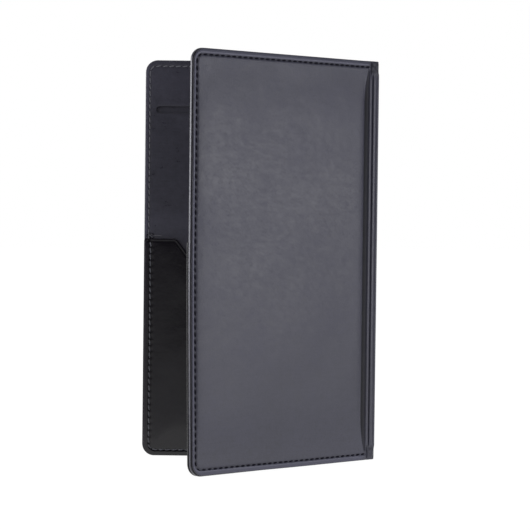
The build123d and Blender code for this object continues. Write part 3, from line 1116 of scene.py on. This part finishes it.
def hingeLining(name):
    side = sides[name]
    us = np.concatenate([np.arange(lining["firstU"], 12.4, 0.3), np.linspace(12.6, lining["lastU"], 6)])
    rows = []
    for z in np.linspace(lining["endInset"], height - lining["endInset"], 120):
        pressed = foldProfile(us, z + 0 * us)
        face = depths["hemBack"] - lining["press"] * np.minimum(pressed, 0)
        back = depths["skinBack"] + 0.02 - np.minimum(pressed, 0)
        back = np.minimum(back, face - 0.15)
        line = np.concatenate([us, us[::-1]])
        rows.append(placeOnCover(side, line, z + 0 * line, np.concatenate([face, back[::-1]])))
    piece = dress(ribbonMesh(f"{name}HingeLining", [rows]), "lining")
    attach(piece, f"{name}_cover")
    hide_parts(f"{name}_hinge_lining")


def liningBridge(name):         # where the lining bends from the cover onto the spine
    side = sides[name]
    back = 1.3                  # hinge plane to the lining's face on the spine
    meetU = (back - (depths["hemBack"] - cover["nose"]) * sinOpen) / cosOpen
    first = np.array([hingeX - back, side * lining["bridgeFrom"]])
    corner = placeOnCover(side, np.array([meetU]), 0.0, depths["hemBack"])[0][:2] / mm
    last = placeOnCover(side, np.array([lining["bridgeTo"]]), 0.0, depths["hemBack"] + 0.03)[0][:2] / mm
    shares = np.linspace(0, 1, 13)[:, None]
    curve = (1 - shares) ** 2 * first + 2 * shares * (1 - shares) * corner + shares ** 2 * last
    along = np.gradient(curve, axis=0)
    along /= np.hypot(along[:, 0], along[:, 1])[:, None]
    across = np.stack([along[:, 1], -along[:, 0]], axis=-1) * side
    thick = lining["bridgeThickness"] * np.sin(math.pi * np.clip(shares, 0.06, 0.94)) ** 0.5
    section = np.concatenate([curve - across * thick * 0.25, (curve + across * thick * 0.75)[::-1]])
    rows = []
    for z in np.linspace(lining["bridgeEnds"], height - lining["bridgeEnds"], 90):
        sway = 0.05 * math.sin(z / 5.0) + 0.04 * math.sin(z / 2.3 + 1)
        spots = section - np.array([sway, 0]) * np.sin(math.pi * np.concatenate([shares, shares[::-1]]))
        rows.append(np.column_stack([spots, np.full(len(spots), z)]) * mm)
    piece = dress(ribbonMesh(f"{name}LiningFold", [rows]), "lining")
    ends = [(*(spot * mm), height / 2 * mm) for spot in (first, last)]
    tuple(ends[0])
    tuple(ends[1])
    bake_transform(piece)


for name in sides:
    hingeLining(name)
    liningBridge(name)
print("linings made")


# Stitches.

stitch = {
    "length": 3.1, "width": 0.92, "rise": 0.24, "sink": 0.40, "slant": 8.0, "wobble": 3.0,
    "sidesRound": 6, "steps": 5,
    "outsideDepth": 0.30,       # thread's middle below the cover's face
    "insideHeight": -0.05,      # the same above the inner faces, towards the reader
}


def stitchTree():
    tree = bpy.data.node_groups.new("stitchRow", "GeometryNodeTree")
    face = tree.interface
    face.new_socket("Seam", in_out="INPUT", socket_type="NodeSocketGeometry")
    face.new_socket("Stitches", in_out="OUTPUT", socket_type="NodeSocketGeometry")
    kinds = {"Count": "Int", "Length": "Float", "Width": "Float", "Rise": "Float", "Sink": "Float",
             "Slant": "Float", "Wobble": "Float", "Outward": "Vector", "Thread": "Material", "Seed": "Int"}
    for label, kind in kinds.items():
        face.new_socket(label, in_out="INPUT", socket_type=f"NodeSocket{kind}")

    given = addNode(tree, "NodeGroupInput")
    half = 0.5 / given["Count"]
    trimmed = addNode(tree, "GeometryNodeTrimCurve", {"mode": "FACTOR"},
                      {"Curve": given["Seam"], 2: half, 3: 1.0 - half}, 0)
    spaced = addNode(tree, "GeometryNodeResampleCurve", {"mode": "COUNT"},
                     {"Curve": trimmed, "Count": given["Count"]}, 0)

    reach, down = given["Length"] * 0.5, given["Sink"] * -1.0
    heel = addNode(tree, "ShaderNodeCombineXYZ", {}, {"X": reach * -1.0, "Z": down}, 0)
    crown = addNode(tree, "ShaderNodeCombineXYZ", {}, {"Z": given["Rise"]}, 0)
    toe = addNode(tree, "ShaderNodeCombineXYZ", {}, {"X": reach, "Z": down}, 0)
    bow = addNode(tree, "GeometryNodeCurveQuadraticBezier", {},
                  {"Resolution": stitch["steps"], "Start": heel, "Middle": crown, "End": toe}, 0)
    ring = addNode(tree, "GeometryNodeCurvePrimitiveCircle", {"mode": "RADIUS"},
                   {"Resolution": stitch["sidesRound"], "Radius": given["Width"] * 0.5}, 0)
    fromMiddle = addNode(tree, "GeometryNodeSplineParameter", output="Factor") - 0.5
    fat = addNode(tree, "GeometryNodeSetCurveRadius", {},
                  {"Curve": bow, "Radius": 1.0 - fromMiddle * fromMiddle * 1.6}, 0)
    thread = addNode(tree, "GeometryNodeCurveToMesh", {},
                     {"Curve": fat, "Profile Curve": ring, "Fill Caps": True}, 0)

    along = addNode(tree, "GeometryNodeInputTangent", output=0)
    faced = addNode(tree, "FunctionNodeAlignRotationToVector", {"axis": "X"}, {"Vector": along}, 0)
    upright = addNode(tree, "FunctionNodeAlignRotationToVector", {"axis": "Z", "pivot_axis": "X"},
                      {"Rotation": faced, "Vector": given["Outward"]}, 0)
    loose = addNode(tree, "FunctionNodeRandomValue", {"data_type": "FLOAT"},
                    {2: -1.0, 3: 1.0, "Seed": given["Seed"]}, 1)
    turn = addNode(tree, "FunctionNodeAxisAngleToRotation", {},
                   {"Axis": (0, 0, 1), "Angle": loose * given["Wobble"] + given["Slant"]}, 0)
    posed = addNode(tree, "FunctionNodeRotateRotation", {"rotation_space": "LOCAL"},
                    {"Rotation": upright, "Rotate By": turn}, 0)
    placed = addNode(tree, "GeometryNodeInstanceOnPoints", {},
                     {"Points": spaced, "Instance": thread, "Rotation": posed}, 0)
    real = addNode(tree, "GeometryNodeRealizeInstances", {}, {"Geometry": placed}, 0)
    smooth = addNode(tree, "GeometryNodeSetShadeSmooth", {}, {"Geometry": real}, 0)
    tinted = addNode(tree, "GeometryNodeSetMaterial", {},
                     {"Geometry": smooth, "Material": given["Thread"]}, 0)
    addNode(tree, "NodeGroupOutput", {}, {"Stitches": tinted})
    return tree


stitchRows = stitchTree()


def sewn(name, path, values):
    curve = bpy.data.curves.new(name + "Seam", "CURVE")
    curve.dimensions = "3D"
    spline = curve.splines.new("POLY")
    spline.points.add(len(path) - 1)
    spline.points.foreach_set("co", np.column_stack([path, np.ones(len(path))]).ravel())
    seamObject = bpy.data.objects.new(name + "Seam", curve)
    bpy.context.scene.collection.objects.link(seamObject)
    modifier = seamObject.modifiers.new("stitches", "NODES")
    modifier.node_group = stitchRows
    for socket in stitchRows.interface.items_tree:
        if socket.in_out == "INPUT" and socket.name in values:
            modifier[socket.identifier] = values[socket.name]
    bpy.context.view_layer.update()
    shown = seamObject.evaluated_get(bpy.context.evaluated_depsgraph_get())
    mesh = bpy.data.meshes.new_from_object(shown)
    seamObject.modifiers.remove(modifier)
    bpy.data.objects.remove(seamObject)
    piece = bpy.data.objects.new(name, mesh)
    bpy.context.scene.collection.objects.link(piece)
    return piece


def seamPath(side, start, depthAt, drift):
    line = width - seam["sideInset"]
    corners = [(start, height - seam["endInset"]), (line, height - seam["endInset"]),
               (line, mouth["top"]), (line - drift, mouth["top"] - 2),
               (line - drift, seam["endInset"]), (start, seam["endInset"])]
    flat = roundedPath(corners, [0, seam["radius"], 0, 0, seam["radius"], 0], 0.5, closed=False)
    return placeOnCover(side, flat[:, 0], flat[:, 1], depthAt(flat[:, 1]))


def seamLength(start):
    return float(seamRun(np.array([0.0]), np.array([0.0]), start)[1])


def stitchGroup(name, where):
    side, outside = sides[name], where == "outside"
    start = seam["outsideStart"] if outside else seam["insideStart"]
    facing = 1 if outside else -1

    def depthAt(z):
        if outside:
            return stitch["outsideDepth"] + 0 * z
        onPocket = ease((mouth["top"] + 1.2 - z) / 2.4)
        return (depths["linerFace"] + (depths["pocketFace"] - depths["linerFace"]) * onPocket
                + stitch["insideHeight"] - 0.2)

    label = f"{name}{where.capitalize()}Stitches"
    piece = sewn(label, seamPath(side, start, depthAt, 0.0 if outside else seam["pocketDrift"]), {
        "Count": int(seamLength(start) / seam["pitch"]),
        "Length": stitch["length"] * mm, "Width": stitch["width"] * mm,
        "Rise": stitch["rise"] * mm, "Sink": stitch["sink"] * mm,
        "Slant": math.radians(stitch["slant"]), "Wobble": math.radians(stitch["wobble"]),
        "Outward": (facing * sinOpen, facing * side * cosOpen, 0.0),
        "Thread": materials["outsideThread" if outside else "insideThread"],
        "Seed": 3 + side + 5 * outside,
    })
    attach(piece, f"{name}_cover")
    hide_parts(f"{name}_{where}_stitches")


for name in sides:
    for where in ("outside", "inside"):
        stitchGroup(name, where)
print("stitches made")


# Thread crossed over the pockets' top corners.

tack = {                        # ends of each strand, from the seam's line and the pocket's top
    "radius": 0.21,
    "crown": 0.45,
    "light": [(-2.1, 0.3, 1.5, 3.1), (-1.9, 2.9, 1.7, 0.4), (-7.2, 1.7, -1.6, 1.9)],
    # dark strands of the outside thread, placed partly as painted shadow specks among the knot
    "dark": [(-0.7, -0.5, 0.1, 3.5), (0.8, 3.2, 1.9, 0.9), (-2.7, 2.1, -1.1, 3.3), (1.2, 0.1, 1.8, 2.3),
             (-2.9, 0.9, -1.4, 0.2)],
}


def strandRows(side, fromU, fromZ, toU, toZ):
    length = math.hypot(toU - fromU, toZ - fromZ)
    acrossU, acrossZ = -(toZ - fromZ) / length, (toU - fromU) / length
    around = np.linspace(0, 2 * math.pi, 7)[:-1]
    rows = []
    for share in np.linspace(0, 1, 8):
        u, z = fromU + (toU - fromU) * share, fromZ + (toZ - fromZ) * share
        thick = tack["radius"] * (0.6 + 0.4 * math.sin(math.pi * share))
        onPocket = ease((mouth["top"] + 0.6 - z) / 1.2)
        depth = depths["linerFace"] + (depths["pocketFace"] - depths["linerFace"]) * onPocket
        depth = depth + tack["crown"] * math.sin(math.pi * share) - 0.12 + thick * np.sin(around)
        sideways = thick * np.cos(around)
        rows.append(placeOnCover(side, u + acrossU * sideways, z + acrossZ * sideways, depth))
    return rows


def cornerTack(name):
    seamU = width - seam["sideInset"] - seam["pocketDrift"] / 2
    kinds = (("light", "CornerTack", "insideThread"), ("dark", "CornerThread", "outsideThread"))
    for kind, label, material in kinds:
        strands = [strandRows(sides[name], seamU + u1, mouth["top"] + z1, seamU + u2, mouth["top"] + z2)
                   for u1, z1, u2, z2 in tack[kind]]
        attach(dress(ribbonMesh(name + label, strands), material), f"{name}_cover")


for name in sides:
    cornerTack(name)
print("corner tacks made")


# Pieces that keep their own shape.

kept = {
    "spine_stay": "stay",
    "spine_lining": "lining",
}
for node, material in kept.items():
    mesh = frame["nodes"][node].data
    mesh.materials.clear()
    mesh.materials.append(materials[material])
print("stay and spine lining finished")


# Floor, light and camera.

reflectedGlow = {                        # the pale floor as glossy surfaces show it: an emitted glow that only reflections see, brightest near the object; lengths in metres
    "near": 0.90, "nearEnds": (0.05, 0.75),
    "frontEnds": (0.07, 0.16),  # it fades towards the camera
    "frontWay": (-0.6, -0.8, 0.0),
    "wide": 0.20, "wideEnds": (0.5, 0.7),
}


def stageMaterial():
    finish = Finish("paleFloor")
    finish.tree.nodes.remove(finish.shader)
    rays = addNode(finish.tree, "ShaderNodeLightPath")
    away = finish.add("ShaderNodeVectorMath", {"operation": "LENGTH"}, {0: finish.place}, "Value")
    forward = finish.add("ShaderNodeVectorMath", {"operation": "DOT_PRODUCT"},
                         {0: finish.place, 1: reflectedGlow["frontWay"]}, "Value")
    near = (1 - finish.span(away, *reflectedGlow["nearEnds"])) * (1 - finish.span(forward, *reflectedGlow["frontEnds"]))
    level = near * reflectedGlow["near"] + (1 - finish.span(away, *reflectedGlow["wideEnds"])) * reflectedGlow["wide"]
    seen = rays["Is Camera Ray"] * 0.82 + (rays["Is Glossy Ray"] + rays["Is Transmission Ray"]) * level
    matt = finish.add("ShaderNodeBsdfDiffuse", {}, {"Color": (0.86, 0.86, 0.86, 1)})
    white = finish.add("ShaderNodeEmission", {}, {"Color": (1, 1, 1, 1), "Strength": 1.15})
    blended = finish.add("ShaderNodeMixShader", {}, {"Fac": seen, 1: matt, 2: white})
    finish.tree.links.new(blended.socket, finish.tree.nodes["Material Output"].inputs["Surface"])
    return finish.material


bpy.ops.mesh.primitive_plane_add(size=12)
floor = bpy.context.object
floor.name = "floor"
floor.data.materials.append(stageMaterial())

room = {                        # what reflections find around the object
    "ambient": 0.42,            # light on matt surfaces
    "behind": 1.0,              # the backdrop
    "front": 0.09,              # the unlit room on the camera's side
    "frontAzimuth": -19.2,      # degrees, as the lamps'
    "edges": (-0.85, -0.35),    # cosines from the front where the backdrop ends and the dark begins
}


def studioWorld():
    world = bpy.context.scene.world or bpy.data.worlds.new("studio")
    bpy.context.scene.world = world
    world.use_nodes = True
    tree = world.node_tree
    rays = addNode(tree, "ShaderNodeLightPath")
    turn = math.radians(room["frontAzimuth"])
    place = addNode(tree, "ShaderNodeTexCoord", output="Generated")
    toward = addNode(tree, "ShaderNodeVectorMath", {"operation": "DOT_PRODUCT"},
                     {0: place, 1: (math.sin(turn), -math.cos(turn), 0)}, "Value")
    shade = addNode(tree, "ShaderNodeMapRange", {},
                    {"Value": toward, "From Min": room["edges"][0], "From Max": room["edges"][1],
                     "To Min": room["behind"], "To Max": room["front"]}, 0)
    shown = rays["Is Camera Ray"].most(rays["Is Transmission Ray"])
    matt = 1 - shown.most(rays["Is Glossy Ray"])
    strength = matt * room["ambient"] + shown + rays["Is Glossy Ray"] * shade
    tree.links.new(strength.socket, tree.nodes["Background"].inputs["Strength"])
    tree.nodes["Background"].inputs["Color"].default_value = (1, 1, 1, 1)


studioWorld()

lamps = {                       # angles in degrees as seen from the object, lengths in metres
    "key": {"azimuth": 48.5, "elevation": -0.5, "distance": 1.7, "size": (1.0, 0.65), "power": 9.4},
    "rim": {"azimuth": -122, "elevation": 10, "distance": 1.8, "size": (0.9, 0.9), "power": 16},
    "left": {"azimuth": -88, "elevation": 8, "distance": 1.6, "size": (0.6, 1.0), "power": 5},
    "top": {"azimuth": 10, "elevation": 68, "distance": 1.8, "size": (1.2, 1.2), "power": 6},
}
for label, lamp in lamps.items():
    light = bpy.data.lights.new(label, "AREA")
    light.shape, light.energy = "RECTANGLE", lamp["power"]
    light.size, light.size_y = lamp["size"]
    light.color = (0.955, 0.957, 1.0)
    holder = bpy.data.objects.new(label, light)
    bpy.context.scene.collection.objects.link(holder)
    azimuth, elevation = math.radians(lamp["azimuth"]), math.radians(lamp["elevation"])
    toward = Vector((math.sin(azimuth) * math.cos(elevation), -math.cos(azimuth) * math.cos(elevation),
                     math.sin(elevation)))
    target = Vector((0, 0, height / 2 * mm))
    holder.location = target + toward * lamp["distance"]
    holder.rotation_euler = toward.to_track_quat("Z", "Y").to_euler()

view = {
    "lens": 123.7,              # on a 36 mm sensor
    "turn": 19.05,              # degrees from the object's front
    "aheadOfHinge": 1047.1,     # camera to the back cover's hinge line, along the view
    "rightOfAxis": 63.7,
    "eyeHeight": 140.4,
    "tiltDown": 0.0278,         # radians
    "roll": 0.0116,
}
turn = math.radians(view["turn"])
ahead, rightward = Vector((math.sin(turn), math.cos(turn), 0)), Vector((math.cos(turn), -math.sin(turn), 0))
eye = Vector((hingeX, -hingeY, 0)) - rightward * view["rightOfAxis"] - ahead * view["aheadOfHinge"]
eye.z = view["eyeHeight"]
gaze = ahead * math.cos(view["tiltDown"]) - Vector((0, 0, 1)) * math.sin(view["tiltDown"])
camera = bpy.data.cameras.new("camera")
camera.lens, camera.sensor_width, camera.clip_start = view["lens"], 36.0, 0.01
cameraObject = bpy.data.objects.new("camera", camera)
bpy.context.scene.collection.objects.link(cameraObject)
turned = gaze.to_track_quat("-Z", "Y").to_matrix() @ Matrix.Rotation(view["roll"], 3, "Z")
cameraObject.matrix_world = Matrix.Translation(eye * mm) @ turned.to_4x4()
bpy.context.scene.camera = cameraObject
bpy.context.scene.view_settings.view_transform = "Standard"
print("stage, light and camera set")
